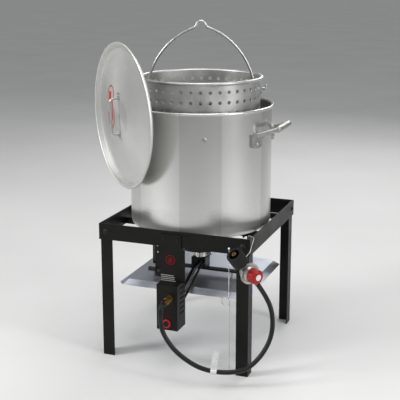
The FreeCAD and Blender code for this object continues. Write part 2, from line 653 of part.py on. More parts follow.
# ---------------------------------------------------------------- basket and bail
def basket(rivets):
    """The basket shell, turned as one cup, with round holes in its wall and floor."""
    outer = rod("basket_outer", "basket_radius", "basket_tall - basket_bead",
                ("0", "0", "basket_level"))
    inner = rod("basket_inner", "basket_radius - basket_wall", "basket_tall",
                ("0", "0", "basket_level + basket_floor"))
    doc.recompute()
    rounded = []
    for blank, radius in ((outer, dim("basket_corner")),
                          (inner, dim("basket_corner") - dim("basket_wall"))):
        fillet = doc.addObject("Part::Fillet", blank.Name + "_rounded")
        fillet.Base = blank
        low = min(range(len(blank.Shape.Edges)),
                  key=lambda i: blank.Shape.Edges[i].CenterOfMass.z)
        fillet.Edges = [(low + 1, radius, radius)]
        rounded.append(fillet)
    shell = cut("basket_shell", rounded[0], rounded[1])
    bead = place(bind(doc.addObject("Part::Torus", "basket_bead_solid"),
                      Radius1="basket_bead_ring", Radius2="basket_bead"),
                 ("0", "0", "basket_level + basket_tall - basket_bead"))
    whole = fuse("basket_blank", [shell, bead])
    level, tall = dim("basket_level"), dim("basket_tall")
    count, pitch = int(dim("holes_round")), dim("hole_row")
    holes = []
    for row in range(int(dim("hole_rows"))):
        for i in range(count):
            turn = 360 * (i + 0.25) / count
            if row == 0 and abs((turn - dim("bail_bearing")) % 180 - 90) < 3:
                continue
            spot = bearing(turn, 170, level + tall - pitch * (row + 1))
            holes.append(Part.makeCylinder(dim("hole_radius"), 30, spot, V(spot.x, spot.y, 0)))
    for ring in range(1, 6):
        for i in range(6 * ring):
            spot = bearing(60 * i / ring, ring * dim("floor_pitch"), level - 5)
            holes.append(Part.makeCylinder(dim("hole_radius"), 12, spot))
    holes.append(Part.makeCylinder(dim("hole_radius"), 12, V(0, 0, level - 5)))
    pivot = bearing(90 + dim("bail_bearing"), 1)
    across = V(0, 0, dim("bail_level")) - pivot * 250
    holes.append(Part.makeCylinder(dim("bail_wire") + 0.6, 500, across, pivot))
    tools = made("basket_holes", Part.makeCompound(holes + [rivets]))
    return {"basket": cut("basket", whole, tools)}


def basket_fittings():
    """The lugs that sit on the pot's rests, the ears that the bail turns in, and their rivets."""
    radius, wall = dim("basket_radius"), Part.makeCylinder(dim("basket_radius"), 400, V(0, 0, 520))
    lugs, ears, rivets = [], [], []
    seat = dim("rest_level") + dim("rest_radius") + 0.3
    for i in range(3):
        turn = dim("rest_bearing") + 120 * i
        thick, wide = dim("lug_sheet"), dim("lug_wide")
        shelf = Part.makeBox(dim("lug_tip") - 175, wide, thick, V(175, -wide / 2, seat))
        tab = Part.makeBox(radius + 2.5 - 175, wide, dim("lug_tall"), V(175, -wide / 2, seat))
        lug = shelf.fuse(tab).cut(wall).removeSplitter()
        lug.rotate(V(0, 0, 0), UP, turn - 90)
        lugs.append(lug)
        for dz in (14, 25):
            out, base = bearing(turn), V(0, 0, seat + dz)
            rivets.append(rivet(base, out, radius - dim("basket_wall"), radius + 2.5, 2.2, 4.5))
    for side in (0, 180):
        turn = 90 + dim("bail_bearing") + side
        wide, tall, thick = dim("ear_wide"), dim("ear_tall"), dim("ear_thick")
        ear = Part.makeBox(radius + thick - 170, wide, tall,
                           V(170, -wide / 2, dim("bail_level") - tall / 2))
        ear = ear.makeFillet(8, [e for e in ear.Edges
                                 if abs(e.Length - (radius + thick - 170)) < 0.1])
        ear = ear.cut(wall)
        ear = ear.cut(bar(V(150, 0, dim("bail_level")), V(220, 0, dim("bail_level")),
                          dim("bail_wire") + 0.05))
        ear.rotate(V(0, 0, 0), UP, turn - 90)
        ears.append(ear)
        for dy in (-13, 13):
            out = bearing(turn + math.degrees(dy / radius))
            base = V(0, 0, dim("bail_level"))
            rivets.append(rivet(base, out, radius - dim("basket_wall"), radius + thick, 2, 4))
    rivets = Part.makeCompound(rivets)
    return {"basket_lugs": made("basket_lugs", Part.makeCompound(lugs).cut(rivets)),
            "bail_ears": made("bail_ears", Part.makeCompound(ears).cut(rivets)),
            "basket_rivets": made("basket_rivets", rivets)}, rivets


def bail():
    """The basket's wire bail: an arch with a hook notch, and ends turned out through the ears."""
    arch, offset, centre = dim("bail_arch"), dim("bail_offset"), dim("bail_centre")
    notch, fillet, slope = dim("bail_notch"), dim("bail_fillet"), math.radians(dim("bail_slope"))
    foot, level, rise = dim("bail_foot"), dim("bail_level"), dim("bail_rise")
    pivot = bearing(90 + dim("bail_bearing"), 1)

    def at(u, z):
        return pivot * u + V(0, 0, z)

    def arc(u, z, radius, start, end):
        return [at(u + radius * math.cos(math.radians(a)), z + radius * math.sin(math.radians(a)))
                for a in (start, (start + end) / 2, end)]

    # The hump's side runs straight for the rise, and a hollow corner joins it to the side arc.
    hollow_u = (notch + fillet) * math.cos(slope) + rise * math.sin(slope)
    hollow_z = centre + math.sqrt((arch + fillet) ** 2 - (hollow_u + offset) ** 2)
    hump_z = hollow_z - (notch + fillet) * math.sin(slope) + rise * math.cos(slope)
    meet = math.degrees(math.atan2(hollow_z - centre, hollow_u + offset))
    last = math.asin((foot - centre) / arch)
    foot_u = arch * math.cos(last) - offset
    turn_u = foot_u + (foot - level) * math.tan(last)
    tilt = math.degrees(slope)
    half = path([at(foot_u, foot), at(turn_u, level), at(dim("bail_end"), level),
                 at(dim("bail_end"), level + dim("bail_tip"))], [9, 6]).Edges
    hump = arc(0, hump_z, notch, 90, tilt)
    hollow = arc(hollow_u, hollow_z, fillet, 180 + tilt, 180 + meet)
    edges = [Part.Arc(*hump).toShape(), Part.makeLine(hump[2], hollow[0]),
             Part.Arc(*hollow).toShape(),
             Part.Arc(*arc(-offset, centre, arch, meet, math.degrees(last))).toShape()] + half
    right = tube(Part.Wire(edges), dim("bail_wire"))
    left = right.copy()
    left.rotate(V(0, 0, 0), UP, 180)
    return {"basket_bail": made("basket_bail", right.fuse(left).removeSplitter())}


# ---------------------------------------------------------------- lid
def lid_frame():
    """Where the hung lid's own frame goes: its Z axis is the outward normal, its X axis is up."""
    turn, lean = math.radians(dim("lid_bearing")), math.radians(dim("lid_lean"))
    out = V(math.cos(turn) * math.cos(lean), math.sin(turn) * math.cos(lean), -math.sin(lean))
    across = UP.cross(out).normalize()
    up = out.cross(across)
    flat = V(math.cos(turn), math.sin(turn), 0)
    rotation = FreeCAD.Rotation(up, across, out, "ZXY")
    return FreeCAD.Placement(flat * dim("lid_reach") + V(0, 0, dim("lid_level")), rotation)


def lid():
    thick = "lid_sheet"
    corners = [("0", "lid_crown"), ("lid_flange - 150", "lid_crown - 1"), ("lid_step - 6", "-lid_drop"),
               ("lid_step", "-lid_drop"), ("lid_flange", "0"), ("lid_radius - 4", "0"),
               ("lid_radius - 2.8", "lid_roll - 0.5"), ("lid_radius - 1.2", "lid_roll - 0.5"),
               ("lid_radius", "0"), ("lid_radius", "-lid_sheet - lid_roll"),
               ("lid_radius - 2.5", "-lid_sheet - lid_roll"), ("lid_radius - 4", "-lid_sheet"), ("lid_flange + 0.8", "-lid_sheet"),
               ("lid_step + 0.8", "-lid_drop - lid_sheet"),
               ("lid_step - 6", "-lid_drop - lid_sheet"),
               ("lid_flange - 150", "lid_crown - 1 - lid_sheet"), ("0", "lid_crown - lid_sheet")]
    body = turned("lid", corners)
    body.Placement = lid_frame()
    parts = {"lid": body}

    half, stand, wire = dim("lid_grip_half"), dim("lid_grip_stand"), dim("lid_wire")
    feet, rivets = [], []
    loop = tube(path([V(half, 0, seat_level(half)), V(half, 0, stand), V(-half, 0, stand),
                      V(-half, 0, seat_level(half))], [9, 9]), wire)
    for sx in (-1, 1):
        long, wide, tall = dim("lid_foot_long"), dim("lid_foot_wide"), dim("lid_foot_thick")
        foot = Part.makeBox(long, wide, tall, V(0, -wide / 2, 0))
        foot.Placement = FreeCAD.Placement(V(sx * (half - 4), 0, seat_level(half - 4)),
                                           FreeCAD.Rotation(V(0, 1, 0), CONE_FALL * sx))
        if sx < 0:
            foot.Placement = FreeCAD.Placement(
                V(-(half - 4), 0, seat_level(half - 4)),
                FreeCAD.Rotation(UP, 180).multiply(FreeCAD.Rotation(V(0, 1, 0), CONE_FALL)))
        feet.append(foot)
        spot = V(sx * (half + 8), 0, seat_level(half + 8))
        rivets.append(bar(spot - UP * (dim("lid_sheet") + 1.5), spot + UP * (tall + 1.6), 3))
    rivets = Part.makeCompound(rivets)
    grip = loop.fuse(feet).cut(rivets).removeSplitter()
    parts["lid_handle"] = made("lid_handle", grip, lid_frame())
    parts["lid_handle_rivets"] = made("lid_handle_rivets", rivets, lid_frame())
    return parts


CONE_FALL = math.degrees(math.atan2(dim("lid_crown") - 1 + dim("lid_drop"),
                                    dim("lid_step") - 6 - dim("lid_flange") + 150))


def seat_level(radius):
    """The height of the lid's outer face at a radius beyond its nearly flat middle."""
    flat = dim("lid_flange") - 150
    if radius <= flat:
        return dim("lid_crown") - radius / flat
    return dim("lid_crown") - 1 - (radius - flat) * math.tan(math.radians(CONE_FALL))


def lid_hanger(lid_shape):
    """A bent strap on the lid's inner face that hooks over the pot's rim and holds the lid up."""
    wide, thick = dim("hanger_wide"), dim("hanger_sheet")
    rim = dim("pot_level") + dim("pot_tall") + 0.3
    inside = dim("pot_radius") - dim("pot_wall") - 1.0
    face = dim("lid_reach") + dim("lid_crown") - 0.5
    strap = Part.makeBox(face - inside + thick, wide, thick, V(inside - thick, -wide / 2, rim))
    lip = Part.makeBox(thick, wide, 24, V(inside - thick, -wide / 2, rim - 22))
    riser = Part.makeBox(thick + 0.5, wide, 26, V(face - thick - 0.5, -wide / 2, rim))
    hook = strap.fuse(lip).fuse(riser).removeSplitter()
    hook.rotate(V(0, 0, 0), UP, dim("lid_bearing"))
    return {"lid_hanger": made("lid_hanger", hook.cut(lid_shape))}


# ---------------------------------------------------------------- regulator
INLET = V(-0.303, -0.566, 0.768).normalize()
KNOB = V(0.841, -0.537, -0.062)
KNOB = (KNOB - INLET * KNOB.dot(INLET)).normalize()
HUB = V(254, -286, 345)


def regulator():
    """The pressure regulator: body with two ports, cover, knob, coupling nut and outlet fitting."""
    radius = dim("regulator_radius")
    line = HUB - KNOB * dim("port_offset")
    port = dim("port_half")
    side = KNOB.cross(INLET)
    low = bar(HUB - KNOB * 20, HUB, 19, 27)
    flange = bar(HUB, HUB + KNOB * 4, radius)
    ports = bar(line - INLET * port, line + INLET * port, 8)
    body = low.fuse(flange).fuse(ports).removeSplitter()
    cover = bar(HUB + KNOB * 4, HUB + KNOB * 7, radius)
    cover = cover.fuse(bar(HUB + KNOB * 7, HUB + KNOB * 15, 25, 20))
    cover = cover.fuse(bar(HUB + KNOB * 12, HUB + KNOB * 27, 5)).removeSplitter()
    screws = []
    for i in range(6):
        turn = math.radians(60 * i + 30)
        spot = HUB + (INLET * math.cos(turn) + side * math.sin(turn)) * 28
        screws.append(bar(spot + KNOB * 7, spot + KNOB * 8.8, 2.1))
    wide = dim("knob_radius")
    knob = bar(HUB + KNOB * 16, HUB + KNOB * 38, wide, wide - 2.5)
    knob = knob.fuse(bar(HUB + KNOB * 38, HUB + KNOB * 42, wide - 2.5, wide - 7))
    ribs = []
    for i in range(18):
        turn = math.radians(20 * i)
        spoke = INLET * math.cos(turn) + side * math.sin(turn)
        ribs.append(bar(HUB + KNOB * 14 + spoke * (wide + 1.7),
                        HUB + KNOB * 40 + spoke * (wide - 1.3), 2.2))
    knob = knob.cut(Part.makeCompound(ribs))
    knob = knob.cut(bar(HUB + KNOB * 12, HUB + KNOB * 27.5, 5.05))
    knob = knob.cut(bar(HUB + KNOB * 40.5, HUB + KNOB * 45, 9))
    cap = bar(HUB + KNOB * 40.5, HUB + KNOB * 42.6, 9)
    near, far = dim("nut_near"), dim("nut_far")
    nipple = bar(line + INLET * port, line + INLET * (far + 2), dim("nipple_radius"))
    nipple = nipple.fuse(bar(line + INLET * (near + 3.5), line + INLET * (near + 7.5), 11))
    nipple = nipple.cut(bar(line + INLET * (far - 24), line + INLET * (far + 8), 2.5))
    nut = bar(line + INLET * near, line + INLET * far, dim("nut_radius"))
    grooves = []
    for i in range(24):
        turn = math.radians(15 * i)
        spoke = KNOB * math.cos(turn) + side * math.sin(turn)
        grooves.append(bar(line + INLET * (near + 5) + spoke * 25,
                           line + INLET * (far + 8) + spoke * 25, 1.8))
    nut = nut.cut(Part.makeCompound(grooves))
    nut = nut.cut(bar(line + INLET * (near + 8), line + INLET * (far + 8), 16))
    nut = nut.cut(bar(line + INLET * (near + 3), line + INLET * (near + 9), 11.3))
    nut = nut.cut(bar(line + INLET * (near - 6), line + INLET * (near + 9),
                      dim("nipple_radius") + 0.05))
    fitting = hexagon(16, 8, line - INLET * port, INLET * -1).fuse(
        bar(line - INLET * (port + 8), line - INLET * (port + 19), 6.5)).removeSplitter()
    return {"regulator_body": made("regulator_body", body),
            "regulator_cover": made("regulator_cover", cover),
            "regulator_screws": made("regulator_screws", Part.makeCompound(screws)),
            "regulator_knob": made("regulator_knob", knob),
            "knob_cap": made("knob_cap", cap),
            "inlet_nipple": made("inlet_nipple", nipple.removeSplitter()),
            "coupling_nut": made("coupling_nut", nut),
            "hose_fitting": made("hose_fitting", fitting)}, line - INLET * (port + 19)


def hose(start, end):
    """The gas hose: the route's points, from the elbow to the regulator's outlet fitting."""
    points = [start, V(7, -354, 178), V(22, -356, 142), V(62, -360, 98), V(139, -345, 50),
              V(238, -315, 47), V(286, -290, 82), V(318, -257, 146), V(311, -231, 217),
              V(284, -229, 267), end]
    runs = [(b - a).Length for a, b in zip(points, points[1:])]
    radii = []
    for i, corner in enumerate(points[1:-1]):
        half = (corner - points[i]).getAngle(points[i + 2] - corner) / 2
        radii.append(0.45 * min(runs[i], runs[i + 1]) / math.tan(half))
    wire = path(points, radii)
    shape = tube(wire, dim("hose_radius"))
    section = math.pi * dim("hose_radius") ** 2
    print("hose runs", [round(r) for r in runs])
    print("hose radii", [round(r) for r in radii])
    print("hose length", round(wire.Length, 1), "volume ratio",
          round(shape.Volume / (section * wire.Length), 4))
    line = wire.discretize(Number=500)
    index = min(range(len(line)), key=lambda k: abs(line[k].x - 166))
    spot, along = line[index], (line[index + 1] - line[index - 1]).normalize()
    band = bar(spot - along * 9, spot + along * 9, 8).cut(
        bar(spot - along * 12, spot + along * 12, dim("hose_radius") + 0.1))
    flag = Part.makeBox(18, 1, 56, V(-9, -0.5, 7.5))
    flag.rotate(V(0, 0, 0), V(0, 1, 0), math.degrees(math.asin(-along.z)))
    flag.rotate(V(0, 0, 0), UP, math.degrees(math.atan2(along.y, along.x)))
    flag.translate(spot)
    tag = band.fuse(flag).removeSplitter()
    return {"gas_hose": made("gas_hose", shape), "hose_tag": made("hose_tag", tag)}


def lighting_set():
    """The bead chain on its screw, and the lighting rod with its finger ring."""
    face = -dim("stand_side") / 2
    x, y, level, low = 181, face - 6, 398, 246
    screw = bar(V(x, face - 5, level), V(x, face, level), 3)
    screw = screw.fuse(Part.makeSphere(4.2, V(x, y, level)))
    beads = [bar(V(x, y, low), V(x, y, level - 4.2), 0.5)]
    spot = low
    while spot < level - 5:
        beads.append(Part.makeSphere(dim("chain_radius"), V(x, y, spot)))
        spot += 4
    chain = beads[0].multiFuse(beads[1:])
    ring, middle = 12.5, V(x - 9.5, y, 235)
    side = middle + V(ring, 0, 0)
    turn = [middle + V(ring * math.cos(a), 0, ring * math.sin(a)) for a in (0, 2.9, 5.8)]
    wire = Part.Wire([Part.LineSegment(V(side.x, side.y, 5), side).toShape(),
                      Part.Arc(*turn).toShape()])
    return {"chain_screw": made("chain_screw", screw.removeSplitter()),
            "bead_chain": made("bead_chain", chain),
            "lighting_rod": made("lighting_rod", tube(wire, dim("rod_radius")))}


def regulator_wire():
    """The wire that holds the regulator: over the corner of the stand and round its neck."""
    offset = HUB - KNOB * dim("port_offset") + INLET * 41
    side = KNOB.cross(INLET)
    ring = []
    for i in range(7):
        turn = math.radians(45 * i + 200)
        ring.append(offset + (side * math.cos(turn) + KNOB * math.sin(turn)) * 14)
    points = [V(228, -214, 408), V(228, -214, 433), V(252, -234, 434), V(254, -278, 405)] + ring
    return {"regulator_wire": made("regulator_wire", tube(
        path(points, [4, 4, 12, 6] + [6] * 5), dim("wire_radius")))}


# What each of these pieces is drilled or relieved for.
RELIEFS = {
    "lighting_rod": ["bead_chain"],
    "control_box_bracket": ["box_thumb_screw"],
    "control_box_cover": ["quick_connect_socket"],
    "burner_cradle": ["gas_tube", "igniter_lead", "flame_sensor_tube"],
    "control_box_housing": ["gas_tube", "igniter_lead", "flame_sensor_tube"],
    "hose_plug": ["quick_connect_socket"],
    "hose_elbow": ["gas_hose"],
    "hose_fitting": ["gas_hose"],
    "hose_tag": ["gas_hose"],
    "regulator_wire": ["inlet_nipple"],
    "lid_hanger": ["lid", "lid_handle_rivets"],
    "lid_handle": ["lid"],
    "lid": ["lid_handle_rivets"],
    "pot_handle_left": ["pot"],
    "pot_handle_right": ["pot"],
    "pot": ["pot_handle_rivets"],
}


def build():
    parts = {}
    rails, holes = stand_rails()
    parts.update(rails)
    parts.update(stand_legs(holes))
    for maker in (stand_bolts, pot_supports, heat_shield, burner_strap, burner_cradle, burner,
                  burner_lines, igniter_button, pot, basket_rests, pot_handles, bail, lid,
                  lighting_set, regulator_wire):
        parts.update(maker())
    parts.update(control_box())
    inlet, hose_start = gas_inlet()
    parts.update(inlet)
    fittings, rivets = basket_fittings()
    parts.update(fittings)
    parts.update(basket(rivets))
    gauge, hose_end = regulator()
    parts.update(gauge)
    parts.update(hose(hose_start, hose_end))
    doc.recompute()
    parts.update(lid_hanger(parts["lid"].Shape))
    for name, tools in RELIEFS.items():
        parts[name] = fitted(name, parts[name], [parts[tool] for tool in tools])
    return parts


def write(parts):
    doc.recompute()
    for thing in doc.Objects:
        if "Invalid" in thing.State or "Error" in thing.State:
            raise RuntimeError(f"{thing.Label} failed: {thing.State}")
    os.makedirs("parts", exist_ok=True)
    for name, thing in sorted(parts.items()):
        thing.Label = name
        shape = thing.Shape
        if shape.isNull() or not shape.isValid() or not shape.Solids:
            raise RuntimeError(f"{name} has no valid solid")
        shape.exportStep(f"parts/{name}.step")
        low, high = shape.BoundBox, shape.BoundBox
        print(f"{name:24s} {len(shape.Solids):3d} {shape.Volume:12.1f}"
              f" x {low.XMin:7.1f} {high.XMax:7.1f} y {low.YMin:7.1f} {high.YMax:7.1f}"
              f" z {low.ZMin:7.1f} {high.ZMax:7.1f}")
    print(len(parts), "parts")


write(build())
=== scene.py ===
import json
import math

import bmesh
import bpy
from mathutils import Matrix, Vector


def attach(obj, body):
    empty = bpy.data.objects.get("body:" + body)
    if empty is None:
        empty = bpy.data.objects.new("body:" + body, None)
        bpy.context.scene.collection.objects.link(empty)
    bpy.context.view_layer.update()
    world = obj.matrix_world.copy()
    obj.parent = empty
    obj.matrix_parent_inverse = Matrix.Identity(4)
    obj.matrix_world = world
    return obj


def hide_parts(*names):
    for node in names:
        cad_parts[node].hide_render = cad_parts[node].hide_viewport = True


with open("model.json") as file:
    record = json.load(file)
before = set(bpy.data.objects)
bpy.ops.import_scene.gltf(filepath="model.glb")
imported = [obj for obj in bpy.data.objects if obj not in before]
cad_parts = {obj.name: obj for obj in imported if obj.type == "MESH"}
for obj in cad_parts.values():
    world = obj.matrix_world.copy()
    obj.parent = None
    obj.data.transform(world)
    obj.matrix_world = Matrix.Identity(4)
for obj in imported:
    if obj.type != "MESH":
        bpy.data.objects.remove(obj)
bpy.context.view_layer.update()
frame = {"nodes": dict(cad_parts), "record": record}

NODES = frame["nodes"]
MM = 0.001


# ---------------------------------------------------------------- node helpers
class Material:
    """A procedural material: a Principled shader, and short ways of adding nodes to it."""

    def __init__(self, name):
        self.made = bpy.data.materials.new(name)
        self.made.use_nodes = True
        self.tree = self.made.node_tree
        self.shader = self.tree.nodes["Principled BSDF"]
        self.place = self.node("ShaderNodeTexCoord").outputs["Object"]

    def node(self, kind, **values):
        made = self.tree.nodes.new(kind)
        for key, value in values.items():
            setattr(made, key, value)
        return made

    def link(self, source, target):
        self.tree.links.new(source, target)

    def set(self, **values):
        for key, value in values.items():
            name = key.replace("_", " ").title().replace("Ior", "IOR")
            socket = self.shader.inputs[name]
            socket.default_value = (*value, 1) if isinstance(value, tuple) else value
        return self

    def stretched(self, scale):
        """Object coordinates, scaled along each axis."""
        mapping = self.node("ShaderNodeMapping")
        mapping.inputs["Scale"].default_value = scale
        self.link(self.place, mapping.inputs["Vector"])
        return mapping.outputs["Vector"]

    def round_place(self, around=1.0, along=1.0, outward=1.0):
        """Coordinates round the Z axis: (turn, height, radius), each scaled."""
        split = self.node("ShaderNodeSeparateXYZ")
        self.link(self.place, split.inputs[0])
        turn = self.math("ARCTAN2", split.outputs[1], split.outputs[0])
        square = self.math("ADD", self.math("MULTIPLY", split.outputs[0], split.outputs[0]),
                           self.math("MULTIPLY", split.outputs[1], split.outputs[1]))
        radius = self.math("SQRT", square)
        join = self.node("ShaderNodeCombineXYZ")
        self.link(self.math("MULTIPLY", turn, around), join.inputs[0])
        self.link(self.math("MULTIPLY", split.outputs[2], along), join.inputs[1])
        self.link(self.math("MULTIPLY", radius, outward), join.inputs[2])
        return join.outputs[0]

    def math(self, operation, first, second=None):
        made = self.node("ShaderNodeMath", operation=operation)
        for socket, value in zip(made.inputs, (first, second)):
            if value is None:
                continue
            if isinstance(value, (int, float)):
                socket.default_value = value
            else:
                self.link(value, socket)
        return made.outputs[0]

    def noise(self, vector, scale, detail, rough=0.5):
        made = self.node("ShaderNodeTexNoise")
        made.inputs["Scale"].default_value = scale
        made.inputs["Detail"].default_value = detail
        made.inputs["Roughness"].default_value = rough
        self.link(vector, made.inputs["Vector"])
        return made.outputs["Fac"]

    def ramp(self, factor, *stops):
        made = self.node("ShaderNodeValToRGB")
        band = made.color_ramp
        while len(band.elements) < len(stops):
            band.elements.new(0.5)
        for element, (spot, colour) in zip(band.elements, stops):
            element.position = spot
            if isinstance(colour, (int, float)):
                colour = (colour, colour, colour)
            element.color = (*colour, 1)
        self.link(factor, made.inputs["Fac"])
        return made.outputs["Color"]

    def colour(self, output):
        self.link(output, self.shader.inputs["Base Color"])

    def roughness(self, factor, low, high, start=0.3, end=0.7):
        made = self.node("ShaderNodeMapRange")
        made.inputs["From Min"].default_value = start
        made.inputs["From Max"].default_value = end
        made.inputs["To Min"].default_value = low
        made.inputs["To Max"].default_value = high
        self.link(factor, made.inputs["Value"])
        self.link(made.outputs[0], self.shader.inputs["Roughness"])

    def bump(self, height, strength=0.2, distance=0.001):
        made = self.node("ShaderNodeBump")
        made.inputs["Strength"].default_value = strength
        made.inputs["Distance"].default_value = distance
        self.link(height, made.inputs["Height"])
        previous = self.shader.inputs["Normal"].links
        if previous:
            self.link(previous[0].from_socket, made.inputs["Normal"])
        self.link(made.outputs[0], self.shader.inputs["Normal"])

    def vector(self, operation, first, second=None):
        made = self.node("ShaderNodeVectorMath", operation=operation)
        for socket, value in zip(made.inputs, (first, second)):
            if value is None:
                continue
            if isinstance(value, (tuple, Vector)):
                socket.default_value = value
            else:
                self.link(value, socket)
        return made.outputs["Value" if operation == "DOT_PRODUCT" else "Vector"]

    def tangent_round(self):
        """Brush marks that run round the Z axis."""
        made = self.node("ShaderNodeTangent", direction_type="RADIAL", axis="Z")
        self.link(made.outputs[0], self.shader.inputs["Tangent"])

    def mix(self, factor, first, second):
        made = self.node("ShaderNodeMix", data_type="RGBA")
        self.link(factor, made.inputs["Factor"])
        for socket, value in ((made.inputs[6], first), (made.inputs[7], second)):
            if isinstance(value, tuple):
                socket.default_value = (*value, 1)
            else:
                self.link(value, socket)
        return made.outputs[2]


# Painted reflection bands on the pot's wall: broad upright strips of darker colour that stand in
# for surroundings mirrored in it; where the first starts, and how many to a radian.
REFLECTION_BAND_START, REFLECTION_BANDS_PER_RADIAN = 4.023, 0.79577
# How dark the painted reflection is across each band: spot in the band, then colour factor.
PAINTED_REFLECTION_SHADES = ((0.0, 1.0), (0.01, 0.84), (0.38, 0.92), (0.454, 0.86), (0.464, 1.0))
# The foot of the pot's wall is duller than the rest: heights in metres, then roughness.
DULL_FOOT = (("From Min", 0.405), ("From Max", 0.50), ("To Min", 0.48), ("To Max", 0.22))


def turned_aluminium(name):
    """The pot: aluminium brushed round its axis, with fine streaks, slow clouds of tone and
    painted reflection: broad upright bands of darker colour round its wall."""
    m = Material(name).set(metallic=1.0, anisotropic=0.2)
    fine = m.noise(m.round_place(0.7, 1500.0, 900.0), 1.0, 3.0, 0.6)
    cloud = m.noise(m.place, 7.0, 3.0)
    tone = m.math("ADD", m.math("MULTIPLY", fine, 0.55), m.math("MULTIPLY", cloud, 0.45))
    base = m.ramp(tone, (0.3, (0.70, 0.70, 0.68)), (0.7, (0.77, 0.77, 0.755)))
    # Painted reflection: the colour is multiplied by upright bands of shade round the pot,
    # standing in for mirrored surroundings.
    turn = m.node("ShaderNodeSeparateXYZ")
    m.link(m.round_place(), turn.inputs[0])
    started = m.math("ADD", turn.outputs[0], REFLECTION_BAND_START)
    panel = m.math("FRACT", m.math("MULTIPLY", started, REFLECTION_BANDS_PER_RADIAN))
    shade = m.ramp(panel, *PAINTED_REFLECTION_SHADES)
    painted_reflection_mix = m.node("ShaderNodeMix", data_type="RGBA", blend_type="MULTIPLY")
    painted_reflection_mix.inputs["Factor"].default_value = 1.0
    m.link(base, painted_reflection_mix.inputs[6])
    m.link(shade, painted_reflection_mix.inputs[7])
    m.colour(painted_reflection_mix.outputs[2])
    split = m.node("ShaderNodeSeparateXYZ")
    m.link(m.place, split.inputs[0])
    dull = m.node("ShaderNodeMapRange", interpolation_type="SMOOTHSTEP")
    for key, value in DULL_FOOT:
        dull.inputs[key].default_value = value
    m.link(split.outputs[2], dull.inputs["Value"])
    rough = m.math("ADD", dull.outputs[0], m.math("MULTIPLY", tone, 0.06))
    m.roughness(rough, 0.0, 1.0, 0.0, 1.0)
    m.bump(fine, 0.05, 0.0001)
    m.tangent_round()
    return m


def painted(name, tint, speck=0.35, low=0.32, high=0.48, grain=900.0):
    """Powder coat: a fine orange peel, slow tone changes and a little dust."""
    m = Material(name).set(metallic=0.0, specular_ior_level=0.17)
    peel = m.noise(m.place, grain, 2.0, 0.55)
    cloud = m.noise(m.place, 14.0, 4.0, 0.65)
    dust = m.noise(m.place, 260.0, 3.0, 0.7)
    light = tuple(c * 1.7 for c in tint)
    base = m.ramp(cloud, (0.35, tint), (0.7, light))
    spots = m.ramp(dust, (0.70, 0.0), (0.78, speck))
    grey = tuple(c + 0.03 for c in tint)
    m.colour(m.mix(spots, base, grey))
    m.roughness(cloud, low, high)
    m.bump(peel, 0.22, 0.0004)
    return m


def plastic(name, tint, low, high, grain=700.0, shine=0.5):
    """Moulded plastic or rubber: a fine grain, and slow changes of tone."""
    m = Material(name).set(specular_ior_level=shine)
    fine = m.noise(m.place, grain, 2.0)
    cloud = m.noise(m.place, 40.0, 3.0)
    m.colour(m.ramp(cloud, (0.3, tuple(c * 0.88 for c in tint)), (0.7, tint)))
    m.roughness(cloud, low, high)
    m.bump(fine, 0.12, 0.0002)
    return m


def metal(name, tint, low, high, grain=500.0, spread=0.15, strength=0.12):
    """Bright metal: spread is how much darker its dull patches are."""
    m = Material(name).set(metallic=1.0)
    fine = m.noise(m.place, grain, 3.0, 0.6)
    cloud = m.noise(m.place, 45.0, 3.0, 0.6)
    m.colour(m.ramp(cloud, (0.3, tuple(c * (1 - spread) for c in tint)), (0.7, tint)))
    m.roughness(cloud, low, high)
    m.bump(fine, strength, 0.0002)
    return m


def cast(name, tint, metallic=1.0, low=0.42, high=0.6, strength=0.5):
    """A sand-cast face: a pebbled surface, darker in its low spots."""
    m = Material(name).set(metallic=metallic)
    pebble = m.noise(m.place, 420.0, 4.0, 0.65)
    lump = m.noise(m.place, 70.0, 3.0, 0.6)
    m.colour(m.ramp(lump, (0.25, tuple(c * 0.7 for c in tint)), (0.75, tint)))
    m.roughness(lump, low, high)
    m.bump(pebble, strength, 0.0006)
    m.bump(lump, 0.3, 0.0008)
    return m


def grainy_aluminium(name):
    """The basket's dull drawn aluminium, with a fine grain and round draw marks."""
    m = Material(name).set(metallic=1.0, anisotropic=0.3)
    grain = m.noise(m.place, 520.0, 4.0, 0.75)
    rings = m.noise(m.round_place(1.5, 500.0, 500.0), 1.0, 2.0)
    cloud = m.noise(m.place, 18.0, 3.0)
    tone = m.math("ADD", m.math("MULTIPLY", grain, 0.55), m.math("MULTIPLY", cloud, 0.45))
    m.colour(m.ramp(tone, (0.36, (0.40, 0.40, 0.39)), (0.62, (0.70, 0.70, 0.685))))
    m.roughness(tone, 0.34, 0.5)
    m.bump(grain, 0.28, 0.0004)
    m.bump(rings, 0.1, 0.0003)
    m.tangent_round()
    return m


# How the lid hangs: its bearing and lean, and its middle's reach from the pot's axis and height.
LID_TURN, LID_LEAN, LID_REACH, LID_LEVEL = math.radians(227.6), math.radians(1.4), 0.269, 0.758
LID_OUT = Vector((math.cos(LID_TURN) * math.cos(LID_LEAN),
                  math.sin(LID_TURN) * math.cos(LID_LEAN), -math.sin(LID_LEAN)))
LID_ACROSS = Vector((0, 0, 1)).cross(LID_OUT).normalized()
LID_UP = LID_OUT.cross(LID_ACROSS)
LID_MIDDLE = Vector((math.cos(LID_TURN) * LID_REACH, math.sin(LID_TURN) * LID_REACH, LID_LEVEL))


